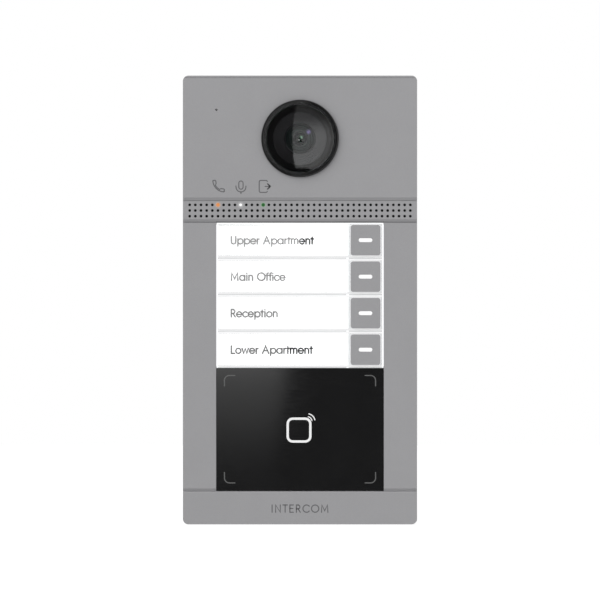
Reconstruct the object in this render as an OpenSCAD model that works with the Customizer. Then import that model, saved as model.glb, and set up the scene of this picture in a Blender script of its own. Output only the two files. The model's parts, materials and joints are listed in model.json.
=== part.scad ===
// Wall-mounted door intercom panel: a camera, a loudspeaker strip with three indicator
// lights, four call buttons beside lit name rows, and a contactless card reader.
// X runs to the right, Z up and Y into the wall. The wall is the plane Y = 0, and the
// origin is the centre of the wall plate's four screw holes. Depths (names ending in _d)
// are measured outwards from the wall, so a depth of 10 is Y = -10.

/* [Body] */
// Width of the panel
body_w = 119; // [118:0.5:122]
// Height of the panel
body_h = 228; // [227:0.5:232]
// Distance from the wall to the face of the camera block
body_depth = 32; // [32:0.25:33]
// Radius of the outline's corners
corner_r = 2.8; // [2:0.1:4]
// Thickness of the casing's side walls
wall_t = 2.2; // [2:0.1:2.4]
// How far the camera block stands in front of the rest of the face
step_t = 0.8; // [0.6:0.05:1]

/* [Face layout] */
// Height of the seam between the camera block and the loudspeaker strip
strip_top_z = 50.5; // [50.4:0.05:50.8]
// Height of the loudspeaker strip
strip_h = 11.2; // [11:0.05:11.4]
// Width of the window for the name rows and the card reader
window_w = 85.2; // [84.8:0.1:85.6]
// Height of the seam above the bottom trim
trim_top_z = -97.1; // [-97.2:0.05:-97]
// Height of the line between the name rows and the card reader
reader_top_z = -34.6; // [-34.7:0.05:-34.5]

/* [Camera] */
// Height of the camera's axis
cam_z = 82; // [80:0.5:83]
// Radius of the camera's bezel
bezel_r = 19.7; // [19.5:0.1:20.2]
// How far the dome stands in front of its seat
dome_h = 5.45; // [4.5:0.05:6]

/* [Loudspeaker strip] */
// Holes in one row
hole_columns = 40; // [38:2:40]
// Rows of holes
hole_rows = 3; // [2:1:3]
// Distance between holes
hole_pitch = 2.875; // [2.8:0.025:2.9]
// Radius of a hole
hole_r = 0.7; // [0.5:0.05:0.75]
// Radius of an indicator's hole
light_hole_r = 0.95; // [0.8:0.05:1.05]

/* [Call buttons] */
// Call buttons, one for each name row
button_count = 4; // [4:1:4]
// Distance from one row to the next
row_pitch = 18.55; // [18.45:0.05:18.6]
// Distance of the buttons from the centre line
button_x = 33.3; // [32.8:0.1:33.4]
// Width of a button
button_w = 15.1; // [14.5:0.1:15.3]
// Height of a button
button_h = 15.5; // [15:0.1:15.7]
// How far a button travels
button_travel = 0.8; // [0.4:0.1:0.8]

/* [Wall plate] */
// Width of the wall plate
plate_w = 96; // [92:1:98]
// Height of the wall plate
plate_h = 204; // [204:1:204]
// Thickness of the wall plate
plate_t = 1.5; // [1.2:0.1:1.6]
// Distance between wall screws, across
screw_dx = 76; // [72:1:78]
// Distance between wall screws, up
screw_dz = 164; // [160:1:166]
// Radius of a wall screw's hole
screw_hole_r = 2.25; // [2:0.05:2.4]
// Distance between the slots for a flush-mounted switch box
slot_dx = 60; // [58:1:62]
// Length of a slot
slot_length = 9; // [7:0.5:10]
// Half the width of a slot
slot_r = 2.1; // [1.9:0.05:2.25]

/* [Hidden] */
$fn = 48;
far = 200; // longer than the part, for cuts that run right across it
eps = 0.1; // overlap between solids that are joined

// Depths of the main faces
front_d = body_depth;
face_d = front_d - step_t;
inner_d = front_d - 2.5;
strip_bed_d = face_d - 1.5;
strip_floor_d = face_d - 3.3;
trim_bed_d = face_d - 1.6;
trim_floor_d = face_d - 3.8;
ledge_front_d = face_d - 2.8;
ledge_back_d = ledge_front_d - 1.8;
pane_d = face_d - 0.3; // front of the name windows and the reader window
case_back_d = 12.3;
cover_front_d = 12;
cover_back_d = 0.8;
recess_d = 6;
floor_d = 8.2;
board_t = 1.2;
main_board_d = front_d - 12.2;
main_board_t = 1.6;
keypad_board_d = main_board_d + 3;

// Heights and widths that follow from the layout
window_top_z = strip_top_z - strip_h;
in_w = body_w - 2 * wall_t;
in_h = body_h - 2 * wall_t;
cover_w = body_w - 2;
cover_h = body_h - 2;
cover_t = 2.2;
reader_mid_z = (reader_top_z + trim_top_z) / 2;
reader_h = reader_top_z - trim_top_z;
name_h = window_top_z - reader_top_z;
row_1_z = window_top_z - 8.9;
row_gap = 0.45; // width of the bar between two name windows
hole_row_1_z = strip_top_z - 2.15;

// Fastenings
case_screw_x = 52.5;
case_screw_zs = [-107.5, 0, 107.5];
main_board_screws = [[-44.4, -88], [44.4, -88], [-44.4, 28], [44.4, 28]];
camera_board_screws = [for (sx = [-1, 1], sz = [-1, 1]) [15.5 * sx, cam_z + 15.5 * sz]];
keypad_board_screws = [[-39, 35], [20.5, 35], [-39, -31], [20.5, -31]];
antenna_board_screws = [for (sx = [-1, 1], z = [-38.5, -93]) [44.2 * sx, z]];
indicator_board_screws = [[-46, 72], [-15.5, 53.5]];
small_pilot_r = 0.9;
slot_z = 16;
tamper_z = 26;
lock_d = 4.6;
hook_x = 24;
hook_z = 64;

speaker_x = 23;
speaker_z = 48.1;

// The indicator lights take the place of holes 6, 10 and 14 of the first row
light_columns = [5, 9, 13];
function column_x(column) = (column - (hole_columns - 1) / 2) * hole_pitch;
function row_z(row) = row_1_z - (row - 1) * row_pitch;
function row_low(row) = row_z(row) - 8.92;
function row_high(row) = min(row_low(row) + row_pitch - row_gap, window_top_z - 0.5);
function arc(radius, from, to, steps) =
    [for (i = [0 : steps]) let (a = from + (to - from) * i / steps) radius * [cos(a), sin(a)]];

// ---------------------------------------------------------------- placing

// Makes an outline in the X-Z plane solid between two depths
module slab(from_d, to_d) {
    translate([0, -from_d, 0]) rotate([90, 0, 0]) linear_extrude(height = to_d - from_d) children();
}

// A round bar along the depth
module bar(x, z, r, from_d, to_d) {
    translate([x, -from_d, z]) rotate([90, 0, 0]) cylinder(r = r, h = to_d - from_d);
}

// Turns a profile of [radius, depth] points round an axis along the depth
module turned(x, z) {
    translate([x, 0, z]) rotate([90, 0, 0]) rotate_extrude() children();
}

// A bar along X whose section is a list of [depth, z] points
module across(points, length) {
    rotate([90, 0, 90]) linear_extrude(height = length, center = true)
        polygon([for (p = points) [-p[0], p[1]]]);
}

module block(x0, x1, z0, z1) {
    translate([x0, z0]) square([x1 - x0, z1 - z0]);
}

module rounded(w, h, r) {
    square([w - 2 * r, h], center = true);
    square([w, h - 2 * r], center = true);
    for (sx = [-1, 1], sz = [-1, 1])
        translate([sx * (w / 2 - r), sz * (h / 2 - r)]) circle(r = r);
}

module rounded_at(x, z, w, h, r) {
    translate([x, z]) rounded(w, h, r);
}

module stadium(x, z, w, h) {
    translate([x, z]) {
        square([w - h, h], center = true);
        for (s = [-1, 1]) translate([s * (w - h) / 2, 0]) circle(r = h / 2);
    }
}

// ---------------------------------------------------------------- wall side

module plate_hook(x) {
    translate([x - 6, 0, 0]) {
        translate([0, -5, hook_z - plate_t]) cube([12, 5, plate_t]);
        translate([0, -5, hook_z - plate_t]) cube([12, plate_t, 4.5]);
    }
}

module wall_plate() {
    color("gainsboro") difference() {
        union() {
            slab(0, plate_t) rounded(plate_w, plate_h, 4);
            for (s = [-1, 1])
                slab(0, 4.5)
                    translate([s * (plate_w - plate_t) / 2, 0]) square([plate_t, 140], center = true);
            for (s = [-1, 1]) plate_hook(s * hook_x);
            translate([-7, -7.6, -plate_h / 2]) cube([14, 7.6, plate_t]);
            translate([0, -lock_d, -plate_h / 2]) cylinder(r = 2.6, h = 3.4);
        }
        for (sx = [-1, 1], sz = [-1, 1])
            bar(sx * screw_dx / 2, sz * screw_dz / 2, screw_hole_r, -1, plate_t + 1);
        for (s = [-1, 1]) slab(-1, plate_t + 1) stadium(s * slot_dx / 2, slot_z, slot_length, 2 * slot_r);
        for (s = [-1, 1])
            slab(-1, plate_t + eps) translate([s * hook_x, hook_z + 3]) square([12, 6], center = true);
        slab(-1, plate_t + 1) rounded_at(0, -67, 64, 54, 3);
        bar(0, tamper_z, 3, -1, plate_t + 1);
        translate([0, -lock_d, -plate_h / 2 - 1]) cylinder(r = 1.5, h = 6);
    }
}

module lock_screw() {
    color("dimgray") translate([0, -lock_d, 0]) difference() {
        union() {
            translate([0, 0, -body_h / 2 + 0.4]) cylinder(r = 2.6, h = 1.8);
            translate([0, 0, -body_h / 2 + 2.1]) cylinder(r = 1.45, h = 13.3);
        }
        translate([0, 0, -body_h / 2 - 1]) cylinder(r = 1.15, h = 2.4, $fn = 6);
    }
}

// A rib on the cover's back that hangs on a hook of the wall plate
module cover_ledge(x) {
    translate([x - 7, -recess_d - eps, hook_z + 3.3]) cube([14, recess_d + eps - 1.9, 2]);
    translate([x - 7, -3.2, hook_z + 0.1]) cube([14, 1.3, 3.3]);
}

module cover_shell() {
    difference() {
        slab(cover_back_d, cover_front_d) rounded(cover_w, cover_h, corner_r);
        slab(0, recess_d) rounded(cover_w - 2 * cover_t, cover_h - 2 * cover_t, 1.2);
        slab(floor_d, cover_front_d + 1) rounded(cover_w - 2 * cover_t, cover_h - 2 * cover_t, 1.2);
    }
    // Lip that reaches into the front casing
    difference() {
        slab(cover_front_d - 1, case_back_d + 2) difference() {
            rounded(in_w - 0.5, in_h - 0.5, 1.2);
            rounded(in_w - 3.3, in_h - 3.3, 0.6);
        }
        for (s = [-1, 1], z = case_screw_zs)
            slab(cover_front_d, far) translate([s * case_screw_x, z]) square([16, 9], center = true);
    }
    // Walls of the connector bay and of the lock screw's pocket
    slab(floor_d - eps, 19) block(-35.6, 35.6, -97.6, -50.4);
    slab(floor_d - eps, 10.2) block(-11, 11, -111, -97);
    for (s = [-1, 1], z = case_screw_zs)
        bar(s * case_screw_x, z, 3.2, floor_d - eps, case_back_d - 0.1);
    for (p = main_board_screws) bar(p[0], p[1], 2.4, floor_d - eps, main_board_d);
    for (p = camera_board_screws) bar(p[0], p[1], 2.4, floor_d - eps, 14);
    bar(0, tamper_z, 4.6, floor_d - eps, 16);
    for (s = [-1, 1]) cover_ledge(s * hook_x);
}

module rear_cover() {
    color("dimgray") difference() {
        cover_shell();
        slab(recess_d - 1, 17.5) block(-34, 34, -96, -52);
        slab(recess_d - 1, 8) block(-9.5, 9.5, -110.8, -98.2);
        // Openings in the bay's upper wall for the network jack and the terminals
        slab(8.5, 19.1) block(-24.2, -7.8, -53.2, -50);
        slab(11.4, 19.1) block(1.8, 31.2, -53.2, -50);
        for (s = [-1, 1], z = case_screw_zs) bar(s * case_screw_x, z, 1.7, 0, far);
        for (p = main_board_screws) bar(p[0], p[1], small_pilot_r, 12, far);
        for (p = camera_board_screws) bar(p[0], p[1], small_pilot_r, 9, far);
        bar(0, tamper_z, 2, 0, far);
        bar(0, tamper_z, 3.4, floor_d, far);
        // Lock screw's hole and the recess for its head, in the bottom wall
        translate([0, -lock_d, -body_h / 2]) cylinder(r = 1.7, h = 6);
        translate([0, -lock_d, -body_h / 2]) cylinder(r = 2.8, h = 2.2);
        // Drain slots in the bottom wall
        for (s = [-1, 1]) translate([s * 30 - 6, -4.4, -body_h / 2]) cube([12, 1.6, 5]);
    }
}

module case_gasket() {
    color("black") slab(cover_front_d, case_back_d) difference() {
        rounded(cover_w - 0.4, cover_h - 0.4, corner_r);
        rounded(in_w - 0.3, in_h - 0.3, 1.2);
    }
}

module pan_screw(x, z, head_r, head_h, shaft_r, head_d, tip_d) {
    // The head lies on the side of head_d away from tip_d
    difference() {
        union() {
            bar(x, z, head_r, head_d - head_h, head_d);
            bar(x, z, shaft_r, head_d - eps, tip_d);
        }
        for (a = [0, 90])
            translate([x, -head_d + head_h, z]) rotate([0, a, 0])
                cube([head_r * 1.1, head_h * 0.9, head_r * 0.25], center = true);
    }
}

module case_screws() {
    color("silver") for (s = [-1, 1], z = case_screw_zs)
        pan_screw(s * case_screw_x, z, 2.75, 2, 1.2, recess_d, 18);
}

// ---------------------------------------------------------------- front casing

// A boss for a case screw, with a rib to the side wall
module case_boss(s, z) {
    bar(s * case_screw_x, z, 3.2, case_back_d, inner_d + eps);
    rib_w = in_w / 2 - case_screw_x + eps;
    slab(case_back_d, inner_d + eps)
        translate([s * (case_screw_x + rib_w / 2), z]) square([rib_w, 2.4], center = true);
}

module casing_solid() {
    difference() {
        slab(case_back_d, front_d) rounded(body_w, body_h, corner_r);
        slab(case_back_d - 1, inner_d) rounded(in_w, in_h, 1);
    }
    // Floor under the loudspeaker strip, with a seat for the loudspeaker
    slab(strip_floor_d, inner_d + eps)
        block(-in_w / 2 - eps, in_w / 2 + eps, window_top_z, strip_top_z + 2);
    slab(strip_floor_d, inner_d + eps) block(-4, 50, strip_top_z, strip_top_z + 7);
    // Floor behind the bottom trim
    slab(trim_floor_d, inner_d + eps) block(-in_w / 2 - eps, in_w / 2 + eps, -in_h / 2 - eps, trim_top_z);
    // Frame that carries the reader window
    slab(ledge_back_d, inner_d + eps) block(-47, 47, trim_top_z - 2, reader_top_z - 0.1);
    for (s = [-1, 1], z = case_screw_zs) case_boss(s, z);
    for (p = indicator_board_screws) bar(p[0], p[1], 2.2, inner_d - 4.9, inner_d + eps);
}

// Cuts away the lower front edge of a raised face along its whole width
module lower_chamfer(z, height, depth, top_d) {
    high_z = z + height * (1 + 1 / depth);
    across([[top_d + 1, z - 1], [top_d + 1, high_z], [top_d - depth, z], [top_d - depth, z - 1]], far);
}

// Hairline groove along the top edge: its width, its depth and how far it lies below the edge
top_groove_w = 0.4;
top_groove_t = 0.3;
top_groove_z = 1.2;

module front_casing() {
    color("silver") difference() {
        casing_solid();
        slab(face_d, front_d + 1) block(-far, far, -far, strip_top_z);
        lower_chamfer(strip_top_z, 1.6, step_t, front_d);
        lower_chamfer(trim_top_z, 1.3, step_t, face_d);
        slab(strip_bed_d, front_d + 1) block(-far, far, window_top_z, strip_top_z);
        slab(trim_bed_d, front_d + 1) block(-far, far, -far, trim_top_z);
        slab(ledge_front_d, front_d + 1) block(-window_w / 2, window_w / 2, trim_top_z, window_top_z);
        slab(case_back_d, front_d + 1)
            block(-window_w / 2, window_w / 2, reader_top_z - 0.05, window_top_z);
        slab(case_back_d, front_d + 1) rounded_at(0, reader_mid_z, 76, 53, 3);
        slab(front_d - top_groove_t, front_d + 1)
            block(-far, far, body_h / 2 - top_groove_z, body_h / 2 - top_groove_z + top_groove_w);
        bar(0, cam_z, 18, inner_d - 5, front_d + 1);
        bar(0, cam_z, 19.3, front_d - 0.8, front_d + 1);
        bar(-42.5, 96.6, 0.6, inner_d - 5, front_d + 1);
        // Sound opening and the holes for the light guides
        slab(strip_floor_d - 1, strip_bed_d + 1)
            rounded_at(speaker_x, (window_top_z + strip_top_z) / 2 + 0.6, 44, 8.4, 4);
        for (c = light_columns)
            bar(column_x(c), hole_row_1_z, 1.7, strip_floor_d - 1, strip_bed_d + 1);
        for (s = [-1, 1], z = case_screw_zs) bar(s * case_screw_x, z, 1.25, case_back_d - 1, 24);
        for (p = indicator_board_screws) bar(p[0], p[1], small_pilot_r, inner_d - 5, inner_d - 0.5);
        for (p = antenna_board_screws) bar(p[0], p[1], small_pilot_r, ledge_back_d - 1, ledge_back_d + 2.6);
        for (s = [-1, 1]) bar(s * 45, -105.5, 1.5, trim_bed_d - 2, trim_bed_d + 1);
    }
}

module bottom_trim() {
    color("silver") {
        slab(trim_bed_d, face_d) intersection() {
            rounded(body_w, body_h, corner_r);
            block(-far, far, -far, trim_top_z - 0.2);
        }
        for (s = [-1, 1]) bar(s * 45, -105.5, 1.4, trim_bed_d - 1.8, trim_bed_d + eps);
    }
}

// ---------------------------------------------------------------- loudspeaker strip

module speaker_grille() {
    color("silver") difference() {
        slab(strip_bed_d + 0.2, face_d)
            block(-body_w / 2, body_w / 2, window_top_z + 0.1, strip_top_z - 0.15);
        lower_chamfer(window_top_z + 0.1, 1.7, 0.8, face_d);
        for (column = [0 : hole_columns - 1], row = [0 : hole_rows - 1]) {
            lit = row == 0 && len(search(column, light_columns)) > 0;
            r = lit ? light_hole_r : hole_r;
            bar(column_x(column), hole_row_1_z - row * hole_pitch, r, strip_bed_d - 1, face_d + 1);
        }
    }
}

module grille_cloth() {
    color("black") slab(strip_bed_d, strip_bed_d + 0.2) difference() {
        block(-57.2, 57.2, window_top_z + 1.2, strip_top_z - 0.6);
        for (c = light_columns) translate([column_x(c), hole_row_1_z]) circle(r = 1);
    }
}

module loudspeaker_frame() {
    color("black") difference() {
        slab(21.5, strip_floor_d - 0.1) rounded_at(speaker_x, speaker_z, 50, 17, 3);
        slab(23, strip_floor_d + 1) rounded_at(speaker_x, speaker_z, 45, 13, 3);
        bar(speaker_x, speaker_z, 4.2, 21, 24);
    }
}

module loudspeaker_cone() {
    color("darkslategray") {
        slab(26.2, 26.8) rounded_at(speaker_x, speaker_z, 44.8, 12.8, 3);
        bar(speaker_x, speaker_z, 4, 22, 26.3);
    }
}

module loudspeaker_magnet() {
    color("dimgray") bar(speaker_x, speaker_z, 7.5, 17, 21.5);
}

module light_guide(column) {
    x = column_x(column);
    bar(x, hole_row_1_z, 1.5, inner_d - 4, strip_bed_d - 0.2);
    bar(x, hole_row_1_z, light_hole_r - 0.05, strip_bed_d - 0.3, face_d + 0.1);
}

module call_light_guide() {
    color("orange") light_guide(light_columns[0]);
}

module talk_light_guide() {
    color("white") light_guide(light_columns[1]);
}

module unlock_light_guide() {
    color("green") light_guide(light_columns[2]);
}

// ---------------------------------------------------------------- camera

// The dome is part of a sphere, inside a rim that slopes up to the bezel
dome_rim_r = 18.2;
dome_seat_r = 17.4;
bezel_inner_r = 17;
bezel_sleeve_r = 17.85;
bezel_t = 2.8;

module camera_bezel() {
    color("black") turned(0, cam_z) polygon([
        [bezel_inner_r, front_d - 5.5], [bezel_sleeve_r, front_d - 5.5], [bezel_sleeve_r, front_d],
        [bezel_r, front_d], [bezel_r, front_d + bezel_t - 1.1],
        [bezel_r - 0.4, front_d + bezel_t - 0.2], [bezel_r - 0.8, front_d + bezel_t],
        [dome_rim_r + 0.1, front_d + bezel_t - 0.3], [dome_rim_r + 0.1, front_d + 0.6],
        [bezel_inner_r, front_d + 0.6]]);
}

dome_t = 1.6;
dome_r = (pow(dome_seat_r, 2) + pow(dome_h, 2)) / (2 * dome_h);
dome_seat_d = front_d + 2.05;

module camera_dome() {
    centre_d = dome_seat_d + dome_h - dome_r;
    outer_from = asin((dome_r - dome_h) / dome_r);
    outer = [for (p = arc(dome_r, outer_from, 90, 32)) [p[0], p[1] + centre_d]];
    inner_r = dome_r - dome_t;
    inner = [for (p = arc(inner_r, 90, acos(16.5 / inner_r), 24)) [p[0], p[1] + centre_d]];
    rim = [[16.5, front_d + 0.7], [dome_rim_r, front_d + 0.7], [dome_rim_r, front_d + 2.5]];
    color("slategray") turned(0, cam_z) polygon(concat(rim, outer, inner));
}

module camera_seal() {
    color("black") turned(0, cam_z) translate([18.7, front_d - 0.4]) circle(r = 0.38);
}

module camera_lock_ring() {
    color("black") difference() {
        bar(0, cam_z, 20.6, front_d - 5, inner_d - 0.1);
        bar(0, cam_z, 17.9, front_d - 6, inner_d + 1);
        for (a = [0 : 60 : 300])
            translate([0, 0, cam_z]) rotate([0, a, 0]) translate([20.8, -front_d + 3.8, 0])
                cube([2, 4, 4], center = true);
    }
}

shroud_hole_r = 10.8;

module camera_shroud() {
    color("black") difference() {
        turned(0, cam_z) polygon([
            [8, front_d - 4.4], [16.8, front_d - 4.4], [16.8, front_d + 0.5], [16.5, front_d + 0.5],
            [13.8, front_d - 2.2], [13.8, front_d - 3.5], [8, front_d - 3.5]]);
        for (a = [45 : 90 : 315])
            bar(shroud_hole_r * cos(a), cam_z + shroud_hole_r * sin(a), 1.7, front_d - 5, front_d);
    }
}

// A ring whose front is domed like the dome before it
module infrared_window() {
    front_r = 30;
    inner_r = 8;
    outer_r = 13.7;
    centre_d = front_d - 1.5 - sqrt(pow(front_r, 2) - pow(outer_r, 2));
    front = [for (p = arc(front_r, acos(outer_r / front_r), acos(inner_r / front_r), 16))
        [p[0], p[1] + centre_d]];
    color("black") turned(0, cam_z)
        polygon(concat([[inner_r, front_d - 3.5], [outer_r, front_d - 3.5]], front));
}

module infrared_board() {
    color("darkgreen") {
        turned(0, cam_z) translate([8.3, front_d - 6.8]) square([7.7, 1]);
        for (a = [45 : 90 : 315])
            bar(shroud_hole_r * cos(a), cam_z + shroud_hole_r * sin(a), 1.5, front_d - 5.9, front_d - 3.7);
    }
}

module lens_barrel() {
    color("black") turned(0, cam_z) polygon([
        [3.5, 17.5], [6, 17.5], [6, 25], [7.7, 25], [7.7, front_d - 0.4], [7.3, front_d - 0.4],
        [7.3, front_d - 2.5], [4.5, front_d - 2.5], [4.5, 24], [3.5, 24]]);
}

front_lens_r = 7.2;
front_lens_crown = 1.9;

module front_lens() {
    r = (pow(front_lens_r, 2) + pow(front_lens_crown, 2)) / (2 * front_lens_crown);
    edge_d = front_d - 0.7;
    centre_d = edge_d + front_lens_crown - r;
    crown = [for (p = arc(r, asin((r - front_lens_crown) / r), 90, 10)) [p[0], p[1] + centre_d]];
    color("midnightblue") turned(0, cam_z)
        polygon(concat([[0, front_d - 2.4], [front_lens_r, front_d - 2.4]], crown));
}

module lens_holder() {
    color("black") difference() {
        slab(14 + board_t, 22) rounded_at(0, cam_z, 16, 16, 1);
        bar(0, cam_z, 6.1, 10, 23);
    }
}

module image_sensor() {
    color("darkslateblue") slab(14 + board_t, 15 + board_t) block(-4, 4, cam_z - 3.2, cam_z + 3.2);
}

module camera_board() {
    color("darkgreen") slab(14, 14 + board_t) difference() {
        rounded_at(0, cam_z, 38, 38, 2);
        for (p = camera_board_screws) translate(p) circle(r = 1.1);
    }
}

// ---------------------------------------------------------------- microphone and indicators

mic_board_d = inner_d - 6.1;

module microphone() {
    color("silver") bar(-42.5, 96.6, 3, mic_board_d + board_t, mic_board_d + 3.6);
}

module microphone_boot() {
    color("black") difference() {
        bar(-42.5, 96.6, 4.2, mic_board_d + board_t, inner_d);
        bar(-42.5, 96.6, 3.05, mic_board_d, mic_board_d + 3.7);
        bar(-42.5, 96.6, 1, mic_board_d, front_d);
    }
}

module indicator_board() {
    color("darkgreen") slab(mic_board_d, mic_board_d + board_t) difference() {
        union() {
            block(-50, -13, 42, 56);
            block(-50, -36, 55, 102);
        }
        for (p = indicator_board_screws) translate(p) circle(r = 1.1);
    }
}

module led(x, z, d) {
    slab(d, d + 0.8) block(x - 1.4, x + 1.4, z - 0.8, z + 0.8);
}

module board_leds() {
    color("lightyellow") {
        for (c = light_columns) led(column_x(c), hole_row_1_z, mic_board_d + board_t);
        for (row = [1 : button_count], x = [-30, -9, 12]) led(x, row_z(row), keypad_board_d + board_t);
    }
}

// ---------------------------------------------------------------- name rows

// A name row's outline, smaller all round by a clearance
module row_outline(row, x0, x1, clearance) {
    low = row_low(row) + clearance;
    high = row_high(row) - clearance;
    rounded_at((x0 + x1) / 2, (low + high) / 2, x1 - x0 - 2 * clearance, high - low, 0.4);
}

row_w = window_w - 1.6;

module name_panel() {
    mid_z = (window_top_z + reader_top_z) / 2;
    color("white") difference() {
        union() {
            slab(ledge_front_d - 0.4, pane_d) rounded_at(0, mid_z, window_w - 0.3, name_h - 0.2, 0.3);
            slab(ledge_front_d - 0.4, inner_d - 0.5)
                rounded_at(0, mid_z, window_w + 7.6, name_h - 2, 0.5);
            for (p = keypad_board_screws) bar(p[0], p[1], 2, keypad_board_d + board_t, ledge_front_d);
        }
        for (row = [1 : button_count]) {
            slab(pane_d - 1.5, far) row_outline(row, -row_w / 2, row_w / 2, 0);
            slab(0, far) rounded_at(button_x, row_z(row), button_w + 0.7, button_h + 0.7, 1.6);
        }
        slab(pane_d - 0.3, far) block(-row_w / 2, row_w / 2, row_z(button_count), row_z(1));
        for (p = keypad_board_screws) bar(p[0], p[1], small_pilot_r, 20, ledge_front_d - 0.4);
    }
}

module name_cards() {
    color("white") for (row = [1 : button_count])
        slab(pane_d - 1.5, pane_d - 1.2) row_outline(row, -row_w / 2, button_x - button_w / 2 - 1, 0.2);
}

// A window's front falls away softly along its upper and lower edges
module soft_front(low, high) {
    soft_w = 1.2;
    soft_d = 0.3;
    steps = 5;
    function fall(i) = [pane_d - soft_d * pow(1 - i / steps, 2), soft_w * i / steps];
    lower = [for (i = [0 : steps]) [fall(i)[0], low + fall(i)[1]]];
    upper = [for (i = [steps : -1 : 0]) [fall(i)[0], high - fall(i)[1]]];
    across(concat([[pane_d - 1.2, high], [pane_d - 1.2, low]], lower, upper), far);
}

module name_window(row) {
    color("azure") intersection() {
        slab(pane_d - 1.2, pane_d + 1) difference() {
            row_outline(row, -row_w / 2, row_w / 2, 0.1);
            rounded_at(button_x, row_z(row), button_w + 0.6, button_h + 0.6, 1.55);
        }
        soft_front(row_low(row) + 0.1, row_high(row) - 0.1);
    }
}

module name_window_1() name_window(1);
module name_window_2() name_window(2);
module name_window_3() name_window(3);
module name_window_4() name_window(4);

module call_button(row) {
    z = row_z(row);
    skirt_d = ledge_front_d - 0.45;
    color("silver") difference() {
        union() {
            slab(skirt_d - 0.8, face_d + 0.5) rounded_at(button_x, z, button_w, button_h, 1.3);
            slab(skirt_d - 0.8, skirt_d) rounded_at(button_x, z, button_w + 1.9, button_h + 1.9, 2);
            bar(button_x, z, 2.2, keypad_board_d + board_t + 2.75, skirt_d);
        }
        slab(face_d - 2, face_d + 1) stadium(button_x, z, 7.05, 2.05);
    }
}

module call_button_1() call_button(1);
module call_button_2() call_button(2);
module call_button_3() call_button(3);
module call_button_4() call_button(4);

module button_light_bar(row) {
    color("white") slab(face_d - 2, face_d + 0.5) stadium(button_x, row_z(row), 7, 2);
}

module button_light_bar_1() button_light_bar(1);
module button_light_bar_2() button_light_bar(2);
module button_light_bar_3() button_light_bar(3);
module button_light_bar_4() button_light_bar(4);

module keypad_board() {
    color("darkgreen") slab(keypad_board_d, keypad_board_d + board_t) difference() {
        block(-42, 43, reader_top_z + 0.6, window_top_z - 1);
        for (p = keypad_board_screws) translate(p) circle(r = 1.1);
    }
}

module key_switches() {
    top_d = keypad_board_d + board_t;
    color("black") for (row = [1 : button_count]) {
        slab(top_d, top_d + 1.4) rounded_at(button_x, row_z(row), 6, 6, 0.4);
        bar(button_x, row_z(row), 1.6, top_d + 1.3, top_d + 1.8);
    }
}

module keypad_mat() {
    top_d = keypad_board_d + board_t;
    color("gray") slab(top_d + 0.05, top_d + 0.6) difference() {
        block(24.5, 42.5, reader_top_z + 1, window_top_z - 1.4);
        for (row = [1 : button_count]) rounded_at(button_x, row_z(row), 6.4, 6.4, 0.5);
    }
}

// ---------------------------------------------------------------- card reader

module panel_tape() {
    color("black") {
        slab(ledge_front_d, ledge_front_d + 0.5) difference() {
            rounded_at(0, reader_mid_z, window_w - 0.6, reader_h - 0.8, 0.5);
            rounded_at(0, reader_mid_z, 77, 54, 3);
        }
        for (s = [-1, 1])
            slab(inner_d - 0.5, inner_d) translate([s * 44.6, (window_top_z + reader_top_z) / 2])
                square([3.4, name_h - 3], center = true);
    }
}

module reader_window() {
    color("black") slab(ledge_front_d + 0.5, pane_d)
        rounded_at(0, reader_mid_z, window_w - 0.2, reader_h - 0.3, 0.3);
}

module antenna_board() {
    color("darkgreen") slab(ledge_back_d - board_t, ledge_back_d) difference() {
        rounded_at(0, reader_mid_z, 91.6, 59.8, 1);
        for (p = antenna_board_screws) translate(p) circle(r = 1.1);
    }
}

// Corner points of a rectangular spiral that closes in by one pitch each turn
function spiral(w, h, pitch, turns) = [for (turn = [0 : turns - 1])
    let (x = w / 2 - turn * pitch, z = h / 2 - turn * pitch)
    each [[-x, z], [x, z], [x, -z], [-x, -z], [-x, z - pitch]]];

module antenna_coil() {
    track = 1;
    path = spiral(70, 47, 2.2, 4);
    color("peru") slab(ledge_back_d, ledge_back_d + 0.1) translate([0, reader_mid_z])
        for (i = [0 : len(path) - 2]) {
            low = [min(path[i][0], path[i + 1][0]), min(path[i][1], path[i + 1][1])];
            high = [max(path[i][0], path[i + 1][0]), max(path[i][1], path[i + 1][1])];
            translate(low - [track, track] / 2) square(high - low + [track, track]);
        }
}

// ---------------------------------------------------------------- electronics behind

module main_board() {
    color("darkgreen") slab(main_board_d, main_board_d + main_board_t) difference() {
        rounded_at(0, -32, 94, 132, 2);
        for (p = main_board_screws) translate(p) circle(r = 1.1);
    }
}

module board_screws() {
    color("silver") {
        for (p = main_board_screws) small_screw(p, main_board_d + main_board_t, -1, 7);
        for (p = camera_board_screws) small_screw(p, 14 + board_t, -1, 5);
        for (p = keypad_board_screws) small_screw(p, keypad_board_d, 1, 4);
        for (p = antenna_board_screws) small_screw(p, ledge_back_d - board_t, 1, 3.4);
        for (p = indicator_board_screws) small_screw(p, mic_board_d, 1, 5);
    }
}

// A small screw that points towards the face (way = 1) or the wall (way = -1)
module small_screw(p, seat_d, way, length) {
    translate([p[0], -seat_d, p[1]]) rotate([way * 90, 0, 0]) difference() {
        union() {
            translate([0, 0, -1.25]) cylinder(r = 1.9, h = 1.25);
            cylinder(r = 0.85, h = length);
        }
        for (a = [0, 90]) rotate(a) translate([-1.1, -0.25, -1.5]) cube([2.2, 0.5, 0.9]);
    }
}

module network_jack() {
    color("silver") difference() {
        slab(8.6, main_board_d) block(-24, -8, -51.9, -35);
        slab(9.8, main_board_d - 1.8) block(-22, -10, -60, -38);
        slab(9, 10) block(-19, -13, -60, -44);
    }
}

module terminal_sockets() {
    color("darkgreen") for (x0 = [2, 14])
        difference() {
            slab(11.6, main_board_d) block(x0, x0 + (x0 < 10 ? 9.4 : 17), -51.9, -43);
            slab(12.6, main_board_d - 1.4) block(x0 + 1, x0 + (x0 < 10 ? 8.4 : 16), -60, -44.5);
        }
}

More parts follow.
